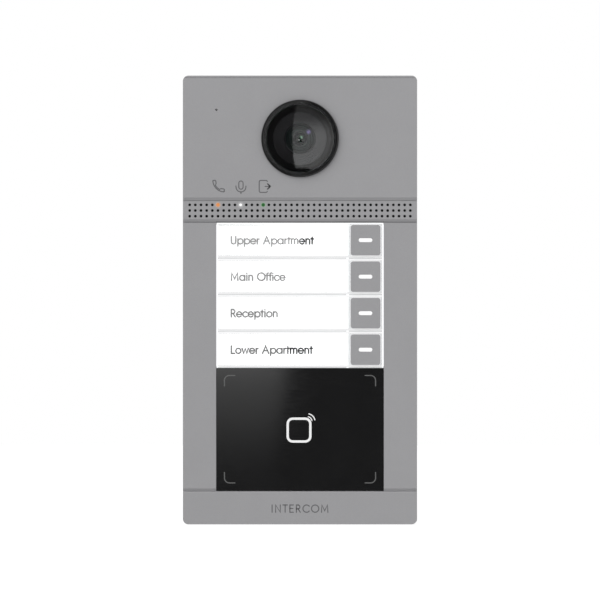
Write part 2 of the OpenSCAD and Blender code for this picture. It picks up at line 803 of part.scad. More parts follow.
terminal_pitch = 3.81;

module terminal_plug(x0, poles) {
    width = poles * terminal_pitch + 1.2;
    difference() {
        union() {
            slab(9.4, 17.2) block(x0, x0 + width, -66, -52.2);
            slab(12.9, main_board_d - 1.7) block(x0 + 0.9, x0 + width - 0.9, -53, -45);
        }
        for (pole = [0 : poles - 1]) {
            x = x0 + 0.6 + (pole + 0.5) * terminal_pitch;
            translate([x, -14.4, -67]) cylinder(r = 1.35, h = 9);
            bar(x, -58.5, 1.5, 9, 11);
        }
    }
}

module terminal_plugs() {
    color("seagreen") {
        terminal_plug(2.4, 2);
        terminal_plug(14.3, 4);
    }
}

// ---------------------------------------------------------------- tamper switch

module tamper_switch() {
    color("black") {
        slab(16.5, main_board_d) rounded_at(0, tamper_z, 9, 9, 0.8);
        bar(0, tamper_z, 1.2, 16, 16.6);
    }
}

module tamper_plunger() {
    color("white") {
        bar(0, tamper_z, 1.9, 0.05, 15.9);
        bar(0, tamper_z, 3.2, 9.9, 10.7);
    }
}

// A wire spring round the plunger: rings of a round section, swept along a helix
module tamper_spring() {
    turns = 4;
    steps = 10;
    wire_r = 0.28;
    coil_r = 2.62;
    low_d = 11.1;
    high_d = 16.1;
    sides = 6;
    rings = turns * steps;
    points = [for (i = [0 : rings], k = [0 : sides - 1])
        let (a = 360 * i / steps, b = 360 * k / sides, r = coil_r + wire_r * cos(b))
        [r * cos(a), -(low_d + (high_d - low_d) * i / rings + wire_r * sin(b)), tamper_z + r * sin(a)]];
    sides_faces = [for (i = [0 : rings - 1], k = [0 : sides - 1])
        let (n = (k + 1) % sides, a = i * sides, b = (i + 1) * sides)
        each [[a + k, b + k, b + n], [a + k, b + n, a + n]]];
    caps = [[for (k = [0 : sides - 1]) k], [for (k = [sides - 1 : -1 : 0]) rings * sides + k]];
    color("silver") polyhedron(points, concat(sides_faces, caps));
}

// ---------------------------------------------------------------- nodes

wall_plate();
lock_screw();
rear_cover();
case_gasket();
case_screws();
front_casing();
bottom_trim();
speaker_grille();
grille_cloth();
loudspeaker_frame();
loudspeaker_cone();
loudspeaker_magnet();
camera_bezel();
camera_dome();
camera_seal();
camera_lock_ring();
camera_shroud();
infrared_window();
infrared_board();
lens_barrel();
front_lens();
lens_holder();
image_sensor();
camera_board();
microphone();
microphone_boot();
indicator_board();
board_leds();
call_light_guide();
talk_light_guide();
unlock_light_guide();
name_panel();
name_cards();
name_window_1();
name_window_2();
name_window_3();
name_window_4();
keypad_board();
key_switches();
keypad_mat();
call_button_1();
call_button_2();
call_button_3();
call_button_4();
button_light_bar_1();
button_light_bar_2();
button_light_bar_3();
button_light_bar_4();
board_screws();
panel_tape();
reader_window();
antenna_board();
antenna_coil();
main_board();
network_jack();
terminal_sockets();
terminal_plugs();
tamper_switch();
tamper_plunger();
tamper_spring();
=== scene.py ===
"""Looks of the door intercom panel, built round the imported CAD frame. Lengths are in metres."""

import json
import math

import bmesh
import bpy
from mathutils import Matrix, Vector


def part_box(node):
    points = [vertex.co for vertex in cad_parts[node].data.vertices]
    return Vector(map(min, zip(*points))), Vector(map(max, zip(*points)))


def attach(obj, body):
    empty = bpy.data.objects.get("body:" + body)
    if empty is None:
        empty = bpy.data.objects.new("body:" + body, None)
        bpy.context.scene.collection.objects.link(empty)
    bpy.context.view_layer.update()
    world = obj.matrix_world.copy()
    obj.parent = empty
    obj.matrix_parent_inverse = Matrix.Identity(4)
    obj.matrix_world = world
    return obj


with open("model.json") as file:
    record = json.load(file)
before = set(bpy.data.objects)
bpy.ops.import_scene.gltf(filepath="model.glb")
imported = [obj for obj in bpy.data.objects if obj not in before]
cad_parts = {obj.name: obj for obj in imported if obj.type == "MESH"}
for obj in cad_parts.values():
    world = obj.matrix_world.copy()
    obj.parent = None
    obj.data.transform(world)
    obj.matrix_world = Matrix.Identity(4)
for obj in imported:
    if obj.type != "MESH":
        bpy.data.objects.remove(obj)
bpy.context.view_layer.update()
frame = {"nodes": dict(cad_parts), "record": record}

MM = 0.001
NODES = frame["nodes"]
ROWS = (1, 2, 3, 4)


def depth(node):
    """How far the front of a CAD node stands from the wall."""
    return -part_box(node)[0].y


def middle(node):
    low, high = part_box(node)
    return (low + high) / 2


FACE_LOW, FACE_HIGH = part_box("front_casing")
BLOCK_DEPTH = depth("front_casing")
PANE_DEPTH = depth("reader_window")
CARD_DEPTH = depth("name_cards")
LENS_CENTRE = middle("front_lens")
GUIDE_R = 0.9 * MM
PANEL_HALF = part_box("reader_window")[1].x
ROWS_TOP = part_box("name_window_1")[1].z
KEYS_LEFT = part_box("call_button_1")[0].x

# ---------------------------------------------------------------- shader nodes


class Shader:
    """A material's node tree. Textures are measured in object space, so they move with their piece."""

    def __init__(self, name):
        self.material = bpy.data.materials.new(name)
        self.material.use_nodes = True
        self.tree = self.material.node_tree
        self.tree.nodes.clear()
        self.output = self.tree.nodes.new("ShaderNodeOutputMaterial")
        self.place = self.tree.nodes.new("ShaderNodeTexCoord").outputs["Object"]

    def node(self, kind, links=None, **settings):
        """A node with its attributes and sockets set; links are sockets that come from other nodes."""
        made = self.tree.nodes.new("ShaderNode" + kind)
        for key, value in settings.items():
            if hasattr(made, key):
                setattr(made, key, value)
            else:
                made.inputs[key.replace("_", " ")].default_value = value
        for key, source in (links or {}).items():
            self.tree.links.new(source, made.inputs[key])
        return made

    def stretched(self, scale):
        """The place with each axis scaled, so that textures stretch where the scale is small."""
        return self.node("Mapping", {"Vector": self.place}, Scale=scale).outputs[0]

    def along(self, axis, vector=None):
        """The part of a vector, or of the place, along an axis."""
        return self.node("SeparateXYZ", {"Vector": vector or self.place}).outputs[axis]

    def noise(self, size, detail=2.0, place=None):
        """Smooth noise whose features are about that size, from 0 to 1."""
        made = self.node("TexNoise", {"Vector": place or self.place}, Scale=1 / size, Detail=detail)
        return made.outputs["Fac"]

    def cells(self, size, output="Distance"):
        """Irregular cells about that size: the distance from their middles, or a colour for each."""
        return self.node("TexVoronoi", {"Vector": self.place}, Scale=1 / size).outputs[output]

    def to_range(self, value, low, high, start=0.3, end=0.7):
        """The value between start and end, spread from low to high."""
        made = self.node("MapRange", {"Value": value})
        for key, number in (("From Min", start), ("From Max", end), ("To Min", low), ("To Max", high)):
            made.inputs[key].default_value = number
        return made.outputs["Result"]

    def math(self, kind, a, b=0.0):
        """A sum on two values, each a number or a socket."""
        made = self.tree.nodes.new("ShaderNodeMath")
        made.operation = kind
        for socket, value in zip(made.inputs, (a, b)):
            if isinstance(value, (int, float)):
                socket.default_value = value
            else:
                self.tree.links.new(value, socket)
        return made.outputs[0]

    def blend(self, share, a, b):
        """Colour a where share is 0 and b where it is 1."""
        made = self.tree.nodes.new("ShaderNodeMix")
        made.data_type = "RGBA"
        self.tree.links.new(share, made.inputs["Factor"])
        for key, colour in ((6, a), (7, b)):
            if isinstance(colour, tuple):
                made.inputs[key].default_value = (*colour, 1)
            else:
                self.tree.links.new(colour, made.inputs[key])
        return made.outputs[2]

    def bump(self, height, distance, strength=1.0, normal=None):
        """A relief of that height, over another normal if one is given."""
        links = {"Height": height}
        if normal:
            links["Normal"] = normal
        return self.node("Bump", links, Distance=distance, Strength=strength).outputs[0]

    def from_axis(self, centre):
        """Distance from the line along the depth through centre."""
        shifted = self.node("Mapping", {"Vector": self.place}, Location=(-centre.x, 0, -centre.z))
        flat = self.node("VectorMath", {0: shifted.outputs[0]}, operation="MULTIPLY")
        flat.inputs[1].default_value = (1, 0, 1)
        return self.node("VectorMath", {0: flat.outputs[0]}, operation="LENGTH").outputs["Value"]

    def principled(self, links=None, **settings):
        return self.node("BsdfPrincipled", links, **settings).outputs[0]

    def finish(self, surface):
        self.tree.links.new(surface, self.output.inputs["Surface"])
        return self.material


def rgb(*colour):
    return (*colour, 1.0)


def toned(colour, share):
    """A darker or lighter tone of a colour."""
    return tuple(c * share for c in colour)


def grained(name, dark, light, grain, rough, bump):
    """A solid surface with a fine grain in colour, gloss and relief, and a broad faint unevenness."""
    s = Shader(name)
    fine = s.noise(grain, 3.0)
    broad = s.noise(grain * 90)
    share = s.math("ADD", s.math("MULTIPLY", fine, 0.6), s.math("MULTIPLY", broad, 0.4))
    links = {
        "Base Color": s.blend(s.to_range(share, 0.0, 1.0), dark, light),
        "Roughness": s.to_range(fine, *rough),
        "Normal": s.bump(fine, bump),
    }
    return s.finish(s.principled(links))


# ---------------------------------------------------------------- materials


SILVER = (0.339, 0.337, 0.347)
SILVER_METALLIC = 0.25
FLAKE = 0.14 * MM
SPILL_INNER, SPILL_OUTER = GUIDE_R * 0.6, GUIDE_R * 2.1


def silver_paint(name, spills=(), leak=0.0, painted_seam_shades=()):
    """Silver paint with aluminium flake under it: the flakes tilt, so their gloss glints at random.
    spills are (light guide, colour) pairs, where light from a guide spills over the paint round it.
    leak is how much the lit name panel lights the parts that lie deeper than its front.
    Each seam is (height, reach, share of the tone, half width): painted shade or painted light, which darkens
    or lightens the paint near that height."""
    s = Shader(name)
    share = s.node("SeparateColor", {"Color": s.cells(FLAKE, "Color")}).outputs["Red"]
    cloud = s.noise(FLAKE * 120)
    peel = s.noise(FLAKE * 6)
    flecked = s.blend(share, toned(SILVER, 0.94), toned(SILVER, 1.06))
    colour = s.blend(s.to_range(cloud, 0.0, 0.12), flecked, toned(SILVER, 0.8))
    # Painted shade and painted light: the paint is darkened or lightened near each seam's height.
    for height, reach, part, half_width in painted_seam_shades:
        away = s.math("ABSOLUTE", s.math("SUBTRACT", s.along("Z"), height))
        aside = s.math("ABSOLUTE", s.along("X"))
        inside = s.to_range(aside, 1.0, 0.0, half_width, half_width + 0.5 * MM)
        near = s.math("MULTIPLY", inside, s.to_range(away, 1.0, 0.0, reach / 2, reach))
        shaded = s.node("VectorMath", {0: colour}, operation="SCALE", Scale=part)
        colour = s.blend(near, colour, shaded.outputs[0])
    links = {
        "Base Color": colour,
        "Roughness": s.to_range(share, 0.36, 0.5, 0.0, 1.0),
        "Normal": s.bump(peel, 0.012 * MM, 0.6, s.bump(share, 0.002 * MM, 0.4)),
    }
    emission = {}
    if leak:
        links["Emission Strength"] = s.to_range(s.along("Y"), 0.0, leak, -PANE_DEPTH, 0.4 * MM - PANE_DEPTH)
        emission = {"Emission_Color": rgb(1, 1, 1)}
    if spills:
        glow = (0.0, 0.0, 0.0)
        for guide, tint in spills:
            near = s.to_range(s.from_axis(middle(guide)), 1.0, 0.0, SPILL_INNER, SPILL_OUTER)
            glow = s.blend(s.math("POWER", near, 1.6), glow, tint)
        links["Emission Color"] = glow
        emission = {"Emission_Strength": 1.0}
    return s.finish(s.principled(links, Metallic=SILVER_METALLIC, **emission))


def gloss_black(name, tone, roughness, specular=0.5, glint=None):
    """Polished black plastic with faint wiping marks in its gloss. glint is what glint_at takes, for a
    painted glint.
    """
    s = Shader(name)
    streaks = s.noise(1.2 * MM, 4.0, s.stretched((0.25, 1.0, 1.6)))
    haze = s.noise(14 * MM, 2.0)
    links = {
        "Base Color": s.blend(haze, toned(tone, 0.85), toned(tone, 1.15)),
        "Roughness": s.to_range(streaks, roughness, roughness * 1.8),
        "Normal": s.bump(s.noise(9 * MM, 1.0), 0.004 * MM, 0.4),
    }
    emission = {}
    if glint:
        links["Emission Strength"] = glint_at(s, *glint)
        emission = {"Emission_Color": rgb(0.7, 0.9, 0.7)}
    return s.finish(s.principled(links, Specular_IOR_Level=specular, **emission))


FROST_SLOPE = (0.03, 0.16)  # how far a surface has to slope before it starts to be matt, and is fully so
FROST_END = ROWS_TOP - 1.4 * MM  # the top window's upper slope, over this height, is nearly clear


def clear(name, tint, ior=1.49, rim=None, frost=None):
    """Clear plastic: it lets light straight through and mirrors more towards grazing angles.
    Between the two radii in rim there is no inner surface behind the outer one, so the outer mirrors
    for both, and outside them the edge is dulled by its seal.
    frost is the colour of the surfaces that slope up or down, which are matt."""
    s = Shader(name)
    wave = s.bump(s.noise(7 * MM), 0.002 * MM, 0.5)
    haze = s.to_range(s.noise(2 * MM), 0.01, 0.03)
    mirror = s.node("BsdfGlossy", {"Normal": wave, "Roughness": haze}, Color=rgb(1, 1, 1)).outputs[0]
    through = s.node("BsdfTransparent", {"Color": s.blend(s.noise(20 * MM), tint, toned(tint, 0.99))})
    share = s.node("Fresnel", {"Normal": wave}, IOR=ior).outputs[0]
    if rim:
        away = s.from_axis(LENS_CENTRE)
        more = s.math("MULTIPLY", s.to_range(away, 1.0, 1.6, rim[0], rim[0] + 0.5 * MM),
                      s.to_range(away, 1.0, 0.3, rim[1], rim[1] + 0.2 * MM))
        share = s.math("MULTIPLY", share, more)
    made = s.node("MixShader", {0: share, 1: through.outputs[0], 2: mirror}).outputs[0]
    if frost:
        slope = s.math("ABSOLUTE", s.along("Z", s.node("NewGeometry").outputs["Normal"]))
        below = s.to_range(s.along("Z"), 1.0, 0.2, FROST_END - 0.2 * MM, FROST_END + 0.2 * MM)
        cover = s.math("MULTIPLY", below, s.to_range(slope, 0.0, 1.0, *FROST_SLOPE))
        matt = s.principled({"Base Color": s.blend(s.noise(0.3 * MM, 3.0), toned(frost, 0.97), frost)},
                            Roughness=0.6, Specular_IOR_Level=0.3)
        made = s.node("MixShader", {0: cover, 1: made, 2: matt}).outputs[0]
    return s.finish(made)


def glint_at(s, right, up, radius, strength):
    """A painted glint: a soft spot of emitted light inside the lens, that far right of the lens's axis and
    above it.
    """
    spot = Vector((LENS_CENTRE.x + right, 0, LENS_CENTRE.z + up))
    near = s.to_range(s.from_axis(spot), 1.0, 0.0, 0.0, radius)
    return s.math("MULTIPLY", s.math("POWER", near, 1.5), strength)


# Painted highlight: where the violet glint sits in the front lens, its size and strength.
VIOLET_GLINT = (4.4 * MM, 3.4 * MM, 1.6 * MM, 0.3)


def coated_glass(name):
    """A lens with an anti-reflection coating, green in the middle and violet towards the rim, and a painted
    violet glint.
    """
    s = Shader(name)
    facing = s.node("LayerWeight", Blend=0.35).outputs["Facing"]
    hue = s.node("ValToRGB", {"Fac": facing})
    ramp = hue.color_ramp
    ramp.elements[0].color = rgb(0.2, 0.34, 0.27)
    ramp.elements[1].position = 0.75
    ramp.elements[1].color = rgb(0.34, 0.2, 0.5)
    ramp.elements.new(0.3).color = rgb(0.16, 0.3, 0.4)
    smear = s.to_range(s.noise(1.5 * MM, 3.0), 0.03, 0.07)
    mirror = s.node("BsdfGlossy", {"Color": hue.outputs["Color"], "Roughness": smear}).outputs[0]
    body = s.node("BsdfTransparent", Color=rgb(0.86, 0.92, 0.9)).outputs[0]
    share = s.node("Fresnel", IOR=1.32).outputs[0]
    glass = s.node("MixShader", {0: share, 1: body, 2: mirror}).outputs[0]
    glint = glint_at(s, *VIOLET_GLINT)
    painted_glint_light = s.node("Emission", {"Strength": glint}, Color=rgb(0.5, 0.38, 0.85)).outputs[0]
    return s.finish(s.node("AddShader", {0: glass, 1: painted_glint_light}).outputs[0])


BORDER_EDGE = PANEL_HALF - 0.75 * MM  # the name panel glows more outside this: painted light along its border
LAMP_REACH = 9 * MM
DIM_FROM, DIM_TO = -1 * MM, -20 * MM  # the cards' glow falls off to the left between these
DIM_TOP, DIM_FOOT = 0.28, 0.14


def glowing(name, tone, glow, rough, spots=(), painted_backlight=0.0):
    """White plastic or card lit from behind. spots are the lamps' places, where it glows more,
    row by row from the top; the left half glows less, most of all at the top.
    The last argument gives how much more the name panel glows along its border, left of the keys and under
    the windows: painted light, which stands for the backlight that shows there and lifts the shade in the
    gaps."""
    s = Shader(name)
    fibre = s.noise(0.35 * MM, 4.0)
    level = s.to_range(fibre, glow * 0.97, glow * 1.03)
    # Painted light: the panel's border and the gaps round the keys and under the windows glow more.
    if painted_backlight:
        aside = s.math("ABSOLUTE", s.along("X"))
        from_keys = s.math("ABSOLUTE", s.math("SUBTRACT", s.along("X"), KEYS_LEFT - 0.6 * MM))
        painted_gap_light = s.to_range(from_keys, painted_backlight, 0.0, 0.5 * MM, 0.7 * MM)
        for value, start, end in (
            (aside, BORDER_EDGE - 0.15 * MM, BORDER_EDGE + 0.15 * MM),
            (s.along("Z"), ROWS_TOP - 0.1 * MM, ROWS_TOP + 0.1 * MM),
            (s.along("Y"), 0.8 * MM - PANE_DEPTH, 1.2 * MM - PANE_DEPTH),
        ):
            painted_gap_light = s.math("MAXIMUM", painted_gap_light, s.to_range(value, 0.0, painted_backlight, start, end))
        level = s.math("ADD", level, painted_gap_light)
    for x, z in spots:
        away = s.node("VectorMath", {0: s.place}, operation="DISTANCE")
        away.inputs[1].default_value = (x, -CARD_DEPTH, z)
        level = s.math("ADD", level, s.to_range(away.outputs["Value"], 0.05, 0.0, 0.0, LAMP_REACH))
    if spots:
        left = s.to_range(s.along("X"), 1.0, 0.0, DIM_TO, DIM_FROM)
        less = s.to_range(s.along("Z"), DIM_FOOT, DIM_TOP, spots[-1][1], spots[0][1])
        level = s.math("SUBTRACT", level, s.math("MULTIPLY", left, less))
    tint = s.blend(fibre, toned(tone, 0.97), tone)
    links = {"Base Color": tint, "Emission Color": tint, "Emission Strength": level,
             "Normal": s.bump(fibre, 0.01 * MM, 0.5)}
    return s.finish(s.principled(links, Roughness=rough))


def lamp(name, guide, core, rim):
    """The end of a light guide: bright in the middle, deeper towards its edge."""
    s = Shader(name)
    share = s.to_range(s.from_axis(middle(guide)), 0.0, 1.0, GUIDE_R * 0.45, GUIDE_R)
    colour = s.blend(share, core, rim)
    grain = s.to_range(s.noise(0.2 * MM), LAMP_STRENGTH * 0.96, LAMP_STRENGTH * 1.04)
    links = {"Base Color": colour, "Emission Color": colour, "Emission Strength": grain}
    return s.finish(s.principled(links, Roughness=0.3))


def spark_eroded(name, tone, rough=(0.5, 0.68)):
    """Moulded plastic from a spark-eroded tool: a fine, even, sandy relief."""
    s = Shader(name)
    pits = s.cells(0.32 * MM)
    sand = s.noise(0.18 * MM, 3.0)
    height = s.math("ADD", s.math("MULTIPLY", pits, 0.5), s.math("MULTIPLY", sand, 0.8))
    haze = s.noise(16 * MM, 3.0)
    share = s.math("ADD", s.math("MULTIPLY", sand, 0.5), s.math("MULTIPLY", haze, 0.5))
    links = {
        "Base Color": s.blend(s.to_range(share, 0.0, 1.0), toned(tone, 0.8), toned(tone, 1.25)),
        "Roughness": s.to_range(haze, *rough),
        "Normal": s.bump(height, 0.03 * MM, 0.7),
    }
    return s.finish(s.principled(links))


CRYSTAL = 7 * MM
TRACK_SCALE = (260, 260, 260)


def spangled_zinc(name):
    """Galvanised sheet: large crystals with their own tone and gloss, and scratches along the rolling."""
    s = Shader(name)
    crystal = s.cells(CRYSTAL, "Color")
    tone = s.node("SeparateColor", {"Color": crystal}).outputs["Green"]
    scratch = s.noise(0.6 * MM, 5.0, s.stretched((1.4, 1.4, 0.06)))
    share = s.math("ADD", s.math("MULTIPLY", tone, 0.7), s.math("MULTIPLY", scratch, 0.3))
    links = {
        "Base Color": s.blend(share, (0.42, 0.44, 0.46), (0.63, 0.65, 0.67)),
        "Roughness": s.to_range(share, 0.28, 0.5, 0.1, 0.9),
        "Normal": s.bump(scratch, 0.006 * MM, 0.5, s.bump(s.cells(CRYSTAL), 0.004 * MM, 0.3)),
    }
    return s.finish(s.principled(links, Metallic=1.0))


def turned_metal(name, dark, light, rough):
    """Bright metal with fine marks and a few dull patches."""
    s = Shader(name)
    marks = s.noise(0.25 * MM, 4.0, s.stretched((1, 0.3, 1)))
    patch = s.noise(4 * MM, 3.0)
    links = {
        "Base Color": s.blend(s.to_range(patch, 0.0, 1.0), dark, light),
        "Roughness": s.to_range(marks, *rough),
        "Normal": s.bump(marks, 0.008 * MM, 0.5),
    }
    return s.finish(s.principled(links, Metallic=1.0))


def circuit(name):
    """Green solder mask over copper tracks, which run in rows and columns."""
    s = Shader(name)
    grid = s.node("Mapping", {"Vector": s.place}, Rotation=(math.pi / 2, 0, 0), Scale=TRACK_SCALE)
    cell = s.node("TexBrick", {"Vector": grid.outputs[0]}, offset=0.5, Scale=1.0)
    cell.inputs["Mortar Size"].default_value = 0.09
    cell.inputs["Brick Width"].default_value = 1.7
    track = cell.outputs["Fac"]
    fine = s.noise(0.4 * MM, 3.0)
    mask = s.blend(s.to_range(fine, 0.0, 1.0), (0.006, 0.05, 0.016), (0.01, 0.075, 0.025))
    links = {
        "Base Color": s.blend(track, mask, (0.03, 0.16, 0.05)),
        "Roughness": s.to_range(fine, 0.3, 0.42),
        "Normal": s.bump(track, 0.03 * MM, 0.6),
    }
    return s.finish(s.principled(links))


def woven(name, dark, light, pitch):
    """Acoustic cloth: two crossing sets of round threads."""
    s = Shader(name)
    threads = []
    for axis in ("X", "Z"):
        wave = s.node("TexWave", {"Vector": s.place}, wave_type="BANDS", bands_direction=axis,
                      Scale=2 * math.pi / 20 / pitch)
        wave.inputs["Distortion"].default_value = 0.4
        threads.append(wave.outputs["Fac"])
    weave = s.math("MULTIPLY", threads[0], threads[1])
    links = {
        "Base Color": s.blend(weave, dark, light),
        "Normal": s.bump(weave, 0.06 * MM, 0.8),
    }
    return s.finish(s.principled(links, Roughness=0.9))


def printed(name, tone):
    """Pad-printed ink: matt, with a slightly uneven edge and cover."""
    s = Shader(name)
    cover = s.noise(0.12 * MM, 3.0)
    links = {
        "Base Color": s.blend(s.to_range(cover, 0.0, 1.0), tone, toned(tone, 1.25)),
        "Normal": s.bump(cover, 0.004 * MM, 0.5),
    }
    return s.finish(s.principled(links, Roughness=0.45))


# Painted light: the seam above the bottom trim is lightened where the groove's shade falls.
TRIM_SEAM_PAINTED_LIGHT = (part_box("bottom_trim")[1].z + 0.3 * MM, 0.8 * MM, 1.3, FACE_HIGH.x)
# Painted shadow: the grille strip is darkened along its lower edge above the name panel.
PANEL_SEAM_PAINTED_SHADOW = (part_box("speaker_grille")[0].z, 1.0 * MM, 0.6, PANEL_HALF)
SPILLS = (
    ("call_light_guide", (0.42, 0.16, 0.03)),
    ("talk_light_guide", (0.3, 0.3, 0.3)),
    ("unlock_light_guide", (0.0, 0.12, 0.0)),
)
LAMP_ROWS = [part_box(f"call_button_{row}") for row in ROWS]
LAMP_SPOTS = [(x * MM, (low.z + high.z) / 2) for low, high in LAMP_ROWS for x in (-30, -9, 12)]
DOME_RIM = (15.6 * MM, 17.3 * MM)
LAMP_STRENGTH = 0.45

# Each look: the function that makes it, its name and what else the function takes
RECIPES = (
    (silver_paint, "silver_casing", dict(painted_seam_shades=(TRIM_SEAM_PAINTED_LIGHT,))),
    (silver_paint, "silver_grille", dict(spills=SPILLS, painted_seam_shades=(PANEL_SEAM_PAINTED_SHADOW,))),
    (silver_paint, "silver_keys", dict(leak=0.5)),
    (spark_eroded, "black_moulding", dict(tone=(0.022, 0.022, 0.024))),
    (spark_eroded, "shroud_black", dict(tone=(0.005, 0.005, 0.005), rough=(0.75, 0.9))),
    (gloss_black, "black_gloss", dict(tone=(0.006, 0.006, 0.006), roughness=0.12)),
    (gloss_black, "infrared_filter", dict(tone=(0.024, 0.023, 0.024), roughness=0.05, specular=0.85)),
    # Painted highlight: a pale green glint near the middle of the inner lens.
    (gloss_black, "inner_glass", dict(tone=(0.01, 0.016, 0.013), roughness=0.06,
                                      glint=(0.74 * MM, 0.8 * MM, 1.2 * MM, 0.7))),
    (gloss_black, "ring_gloss", dict(tone=(0.02, 0.02, 0.021), roughness=0.16, specular=1.0)),
    (gloss_black, "reader_gloss", dict(tone=(0.0112, 0.0112, 0.0115), roughness=0.035)),
    (gloss_black, "sensor_glass", dict(tone=(0.03, 0.02, 0.05), roughness=0.05)),
    (clear, "dome_clear", dict(tint=(0.96, 0.965, 0.97), rim=DOME_RIM)),
    (clear, "name_window_clear", dict(tint=(0.985, 0.99, 0.99), ior=1.9, frost=(0.95, 0.95, 0.955))),
    (coated_glass, "lens_glass", {}),
    (glowing, "white_moulding", dict(tone=(0.62, 0.625, 0.63), glow=0.0, rough=0.4, painted_backlight=0.85)),
    (glowing, "white_card", dict(tone=(0.92, 0.92, 0.92), glow=0.62, rough=0.6, spots=LAMP_SPOTS)),
    (glowing, "light_bar", dict(tone=(0.95, 0.95, 0.95), glow=0.12, rough=0.35)),
    (lamp, "light_orange", dict(guide="call_light_guide", core=(0.55, 0.19, 0.05), rim=(0.48, 0.2, 0.06))),
    (lamp, "light_white", dict(guide="talk_light_guide", core=(0.85, 0.85, 0.85), rim=(0.24, 0.24, 0.24))),
    (lamp, "light_green", dict(guide="unlock_light_guide", core=(0.0, 0.06, 0.004), rim=(0.03, 0.15, 0.035))),
    (spangled_zinc, "zinc_steel", {}),
    (turned_metal, "screw_steel", dict(dark=(0.5, 0.5, 0.51), light=(0.68, 0.68, 0.69), rough=(0.22, 0.38))),
    (turned_metal, "spring_steel", dict(dark=(0.4, 0.4, 0.42), light=(0.6, 0.6, 0.62), rough=(0.18, 0.3))),
    (turned_metal, "copper", dict(dark=(0.7, 0.36, 0.2), light=(0.85, 0.5, 0.32), rough=(0.25, 0.4))),
    (turned_metal, "gold", dict(dark=(0.8, 0.55, 0.2), light=(0.95, 0.7, 0.32), rough=(0.15, 0.3))),
    (grained, "black_rubber", dict(dark=(0.012, 0.012, 0.012), light=(0.026, 0.026, 0.026),
                                   grain=0.3 * MM, rough=(0.7, 0.9), bump=0.02 * MM)),
    (grained, "grey_rubber", dict(dark=(0.2, 0.2, 0.21), light=(0.26, 0.26, 0.27),
                                  grain=0.3 * MM, rough=(0.6, 0.8), bump=0.02 * MM)),
    (grained, "speaker_cone", dict(dark=(0.02, 0.022, 0.024), light=(0.04, 0.042, 0.045),
                                   grain=0.5 * MM, rough=(0.6, 0.8), bump=0.05 * MM)),
    (grained, "magnet_black", dict(dark=(0.03, 0.03, 0.032), light=(0.06, 0.06, 0.06),
                                   grain=0.4 * MM, rough=(0.4, 0.6), bump=0.02 * MM)),
    (grained, "green_terminal", dict(dark=(0.012, 0.17, 0.05), light=(0.02, 0.24, 0.08),
                                     grain=0.4 * MM, rough=(0.35, 0.5), bump=0.01 * MM)),
    (grained, "led_package", dict(dark=(0.7, 0.62, 0.3), light=(0.85, 0.78, 0.45),
                                  grain=0.3 * MM, rough=(0.3, 0.45), bump=0.01 * MM)),
    (woven, "acoustic_cloth", dict(dark=(0.002, 0.002, 0.002), light=(0.012, 0.012, 0.012), pitch=0.25 * MM)),
    (circuit, "circuit_board", {}),
    (printed, "ink_grey", dict(tone=(0.1, 0.1, 0.105))),
    (printed, "ink_text", dict(tone=(0.016, 0.016, 0.018))),
    (printed, "ink_bracket", dict(tone=(0.09, 0.09, 0.09))),
    (printed, "ink_white", dict(tone=(0.8, 0.8, 0.8))),
)
LOOKS = {name: make(name, **rest) for make, name, rest in RECIPES}


def give(obj, look):
    obj.data.materials.clear()
    obj.data.materials.append(LOOKS[look])


# ---------------------------------------------------------------- CAD nodes that stay as they are


def round_edges(obj, radius):
    """Rounds a CAD node's sharp edges with modifiers, which leave its own mesh alone."""
    weld = obj.modifiers.new("weld", "WELD")
    weld.merge_threshold = 0.001 * MM
    flatten = obj.modifiers.new("flatten", "DECIMATE")
    flatten.decimate_type = "DISSOLVE"
    flatten.angle_limit = math.radians(0.4)
    bevel = obj.modifiers.new("bevel", "BEVEL")
    bevel.width = radius * MM
    bevel.segments = 3 if radius >= 0.25 else 2
    bevel.limit_method = "ANGLE"
    bevel.angle_limit = math.radians(40)
    bevel.harden_normals = False
    normals = obj.modifiers.new("normals", "WEIGHTED_NORMAL")
    normals.keep_sharp = True


for part in frame["record"]["subparts"]:
    give(NODES[part["node"]], part["material_slot"])
give(NODES["camera_shroud"], "shroud_black")
give(NODES["speaker_grille"], "silver_grille")

# Radius in millimetres, and the CAD nodes whose edges it rounds
ROUNDING = (
    (0.55, [f"call_button_{row}" for row in ROWS]),
    (0.3, ["rear_cover", "loudspeaker_magnet"]),
    (0.2, ["terminal_plugs", "microphone", "loudspeaker_frame"]),
    (0.15, ["front_casing", "reader_window", "wall_plate", "lock_screw", "terminal_sockets", "network_jack",
            "tamper_plunger", "tamper_switch", "lens_holder"]),
    (0.12, ["name_panel", "case_screws"] + [f"button_light_bar_{row}" for row in ROWS]),
    (0.1, ["bottom_trim", "speaker_grille", "key_switches", "board_screws"]),
    (0.08, ["keypad_mat"]),
)
for radius, names in ROUNDING:
    for name in names:
        round_edges(NODES[name], radius)

# ---------------------------------------------------------------- mesh building


def new_piece(name, bm, look, body="root", smooth=False):
    """A piece from a bmesh, with its look, riding on a body."""
    mesh = bpy.data.meshes.new(name)
    bmesh.ops.recalc_face_normals(bm, faces=bm.faces)
    for face in bm.faces:
        face.smooth = smooth
    bm.to_mesh(mesh)
    bm.free()
    obj = bpy.data.objects.new(name, mesh)
    bpy.context.scene.collection.objects.link(obj)
    give(obj, look)
    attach(obj, body)


def arc_points(x, z, radius, start, end, steps=12):
    """Points along an arc, with angles in degrees, anticlockwise from +X as seen from the front."""
    angles = [math.radians(start + (end - start) * i / steps) for i in range(steps + 1)]
    return [(x + radius * math.cos(a), z + radius * math.sin(a)) for a in angles]


